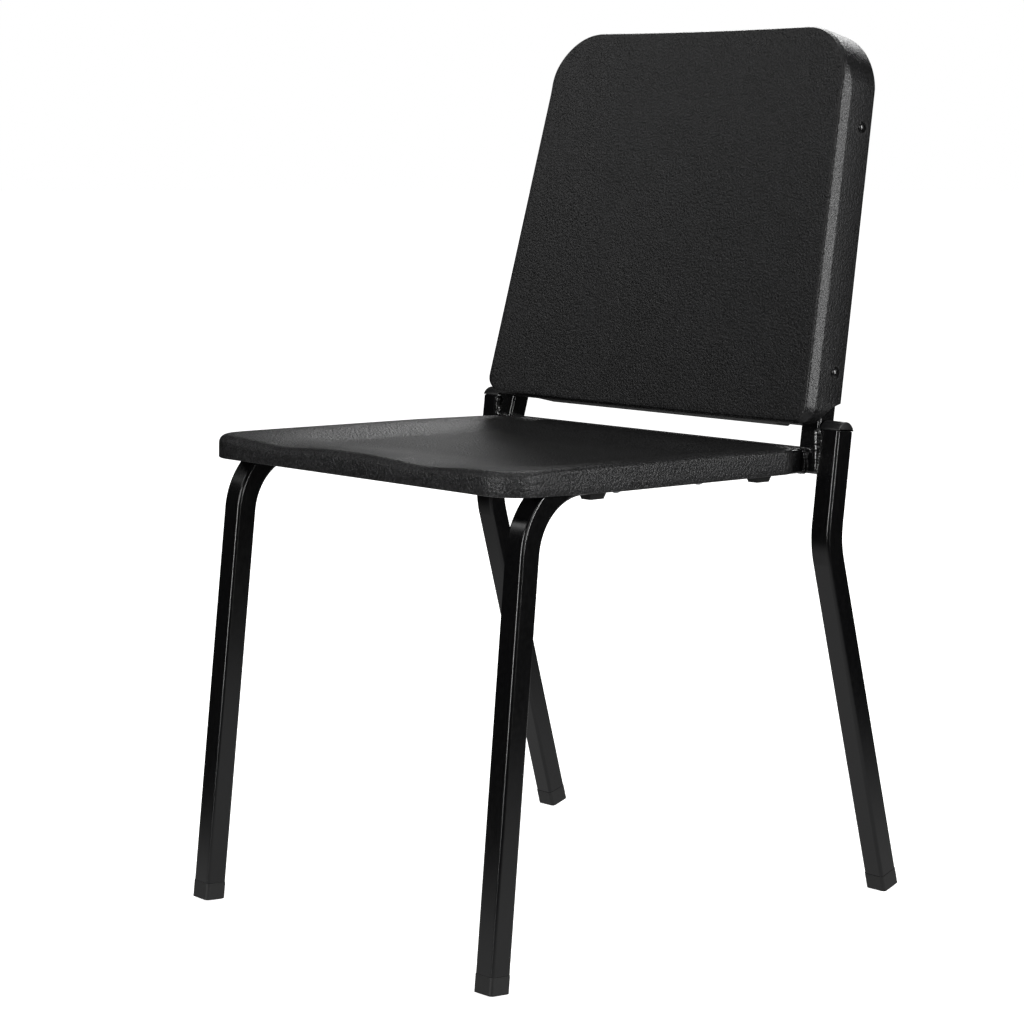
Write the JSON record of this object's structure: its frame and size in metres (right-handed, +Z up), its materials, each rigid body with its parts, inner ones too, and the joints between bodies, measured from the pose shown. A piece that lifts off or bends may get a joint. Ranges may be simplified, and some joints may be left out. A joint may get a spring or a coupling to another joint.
{
  "type": "stacking chair",
  "caption": "Armless stacking chair with a bent square-tube steel frame, a dished moulded seat and a leaning hollow moulded backrest between short uprights.",
  "frame": {"origin": "middle of the bounding box, at floor level", "axes": "+X to the right as seen from in front of the chair, -Y the front of the chair, +Z up"},
  "size_m": [0.4794, 0.5272, 0.8295],
  "materials": {
    "seat_plastic": "black moulded polypropylene, fine pebble texture, satin",
    "back_plastic": "black moulded polypropylene, fine pebble texture, satin",
    "glide_plastic": "black moulded nylon, matt",
    "cap_plastic": "black moulded polyethylene, satin",
    "bumper_rubber": "black moulded rubber, matt",
    "seat_screw_steel": "bright zinc plate",
    "back_screw_steel": "black gloss",
    "painted_weld": "black powder coat over rippled weld",
    "frame_paint": "black powder coat, smooth, semi-gloss"
  },
  "bodies": {
    "root": {"seat_panel": "seat_plastic", "backrest_shell": "back_plastic", "left_front_leg_rail": "frame_paint", "right_front_leg_rail": "frame_paint", "left_rear_leg": "frame_paint", "right_rear_leg": "frame_paint", "left_back_upright": "frame_paint", "right_back_upright": "frame_paint", "front_cross_tube": "frame_paint", "rear_cross_tube": "frame_paint", "left_front_glide": "glide_plastic", "right_front_glide": "glide_plastic", "left_rear_glide": "glide_plastic", "right_rear_glide": "glide_plastic", "left_leg_cap": "cap_plastic", "right_leg_cap": "cap_plastic", "left_front_bumper": "bumper_rubber", "right_front_bumper": "bumper_rubber", "left_rear_bumper": "bumper_rubber", "right_rear_bumper": "bumper_rubber", "seat_screws": "seat_screw_steel", "back_screws": "back_screw_steel", "left_rail_weld": "painted_weld", "right_rail_weld": "painted_weld", "left_leg_weld": "painted_weld", "right_leg_weld": "painted_weld", "left_upright_weld": "painted_weld", "right_upright_weld": "painted_weld", "front_cross_welds": "painted_weld"}
  },
  "joints": []
}
